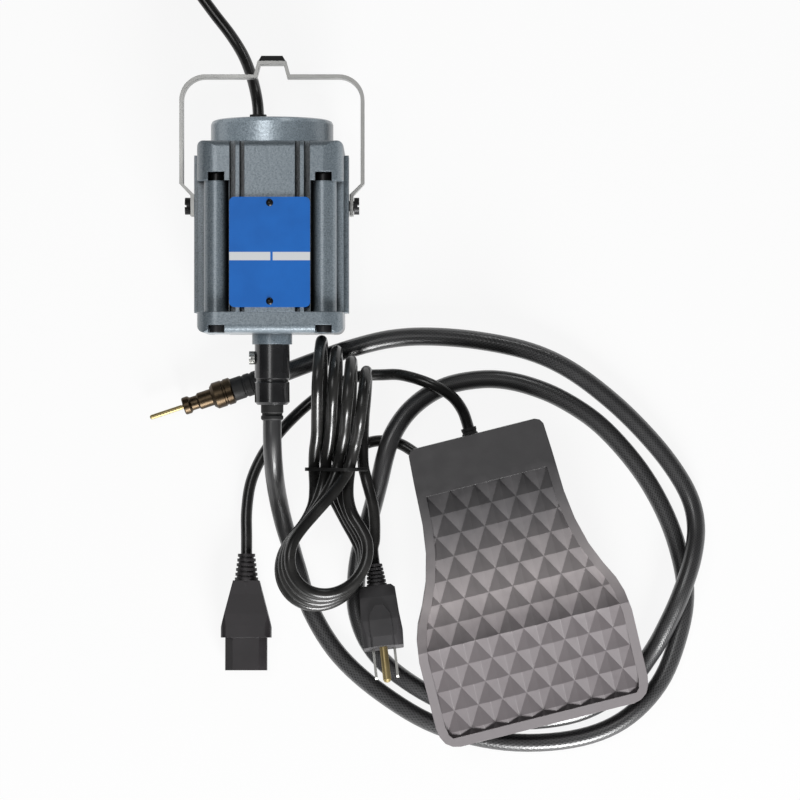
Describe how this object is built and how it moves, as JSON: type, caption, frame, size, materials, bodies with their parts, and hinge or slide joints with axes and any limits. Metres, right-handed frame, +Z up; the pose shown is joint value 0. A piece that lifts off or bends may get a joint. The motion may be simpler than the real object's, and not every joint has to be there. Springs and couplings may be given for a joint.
{
  "type": "rotary tool with flexible shaft",
  "caption": "Hanging electric motor with a flexible shaft, its tool-end coupling, a patterned foot pedal, a tied mains lead and a motor lead.",
  "frame": {"origin": "on the table plane, at the middle of the box round the motor with its bail and the pedal, with the loose leads left out", "axes": "+Y from the pedal towards the motor's bail, +X to the right of the picture, +Z up from the table"},
  "size_m": [0.3373, 0.5805, 0.0867],
  "materials": {
    "enamel": "hammered satin enamel",
    "zinc_steel": "bright plated",
    "shaft_steel": "ground",
    "plate": "printed blue, satin",
    "dark_steel": "blackened",
    "lamination": "dull",
    "copper": "enamelled winding and copper bars",
    "fan_plastic": "moulded",
    "carbon": "dull",
    "rubber_black": "matt",
    "connector_black": "gloss",
    "sheath_black": "semi-gloss",
    "bronze": "dark bronze",
    "brass": "turned",
    "base_black": "moulded",
    "tread": "moulded, scuffed",
    "board": "solder mask",
    "lead_black": "satin",
    "plug_grey": "moulded",
    "charcoal": "moulded"
  },
  "bodies": {
    "stand": {"motor_housing": "enamel", "lower_bell": "enamel", "top_cap": "enamel", "through_bolts": "zinc_steel", "nameplate": "plate", "nameplate_rivets": "dark_steel", "field_stack": "lamination", "field_coils": "copper", "lower_bearing": "shaft_steel", "upper_bearing": "shaft_steel", "brush_holders": "fan_plastic", "carbon_brushes": "carbon", "bail_screws": "dark_steel", "lead_bushing": "rubber_black", "sheath_connector": "connector_black", "connector_screw": "zinc_steel", "motor_ferrule": "rubber_black", "flex_sheath": "sheath_black", "flex_core": "shaft_steel", "tip_ferrule": "rubber_black", "tip_collar": "bronze", "tip_nose": "bronze", "tip_bush": "brass", "pedal_base": "base_black", "rubber_feet": "rubber_black", "hinge_pin": "shaft_steel", "return_spring": "shaft_steel", "control_board": "board", "sensor_housing": "fan_plastic", "power_gland": "rubber_black", "outlet_gland": "rubber_black", "power_lead": "lead_black", "power_hank": "lead_black", "power_tail": "lead_black", "hank_tie": "lead_black", "mains_plug": "plug_grey", "plug_blades": "zinc_steel", "earth_pin": "brass", "outlet_lead": "lead_black", "outlet_connector": "charcoal", "outlet_contacts": "brass", "motor_lead": "lead_black", "motor_lead_coil": "lead_black", "motor_lead_end": "lead_black", "coil_tie": "lead_black", "motor_plug": "charcoal", "motor_plug_blades": "zinc_steel"},
    "bail_loop": {"bail": "zinc_steel", "hanger_pad": "rubber_black"},
    "rotor": {"armature_shaft": "shaft_steel", "armature_core": "lamination", "commutator": "copper", "cooling_fan": "fan_plastic", "drive_coupling": "shaft_steel"},
    "tip": {"drive_tip": "brass"},
    "tread": {"pedal_tread": "tread"},
    "plunger": {"sensor_plunger": "brass"}
  },
  "joints": [
    {"name": "bail_swing", "type": "hinge", "parent": "stand", "child": "bail_loop", "pos_m": [-0.083, 0.114, 0.0425], "axis": [1, 0, 0], "range_deg": [0, 120]},
    {"name": "armature_spin", "type": "hinge", "parent": "stand", "child": "rotor", "pos_m": [-0.083, 0.09, 0.0425], "axis": [0, 1, 0], "continuous": true},
    {"name": "tip_spin", "type": "hinge", "parent": "stand", "child": "tip", "pos_m": [-0.13245, -0.00232, 0.0082], "axis": [-0.9483, -0.3173, 0], "continuous": true},
    {"name": "tread_press", "type": "hinge", "parent": "stand", "child": "tread", "pos_m": [0.03941, -0.03358, 0.03], "axis": [0.9699, 0.2436, 0], "range_deg": [0, 4], "stiffness_Nm_per_rad": 3, "springref_deg": -6.88, "deforming": ["return_spring"]},
    {"name": "plunger_slide", "type": "slide", "parent": "stand", "child": "plunger", "axis": [0, 0, -1], "range_m": [0, 0.0046]}
  ],
  "couplings": [
    {"joint": "tip_spin", "follows": "armature_spin", "ratio": -1},
    {"joint": "plunger_slide", "follows": "tread_press", "m_per_rad": 0.0645}
  ]
}
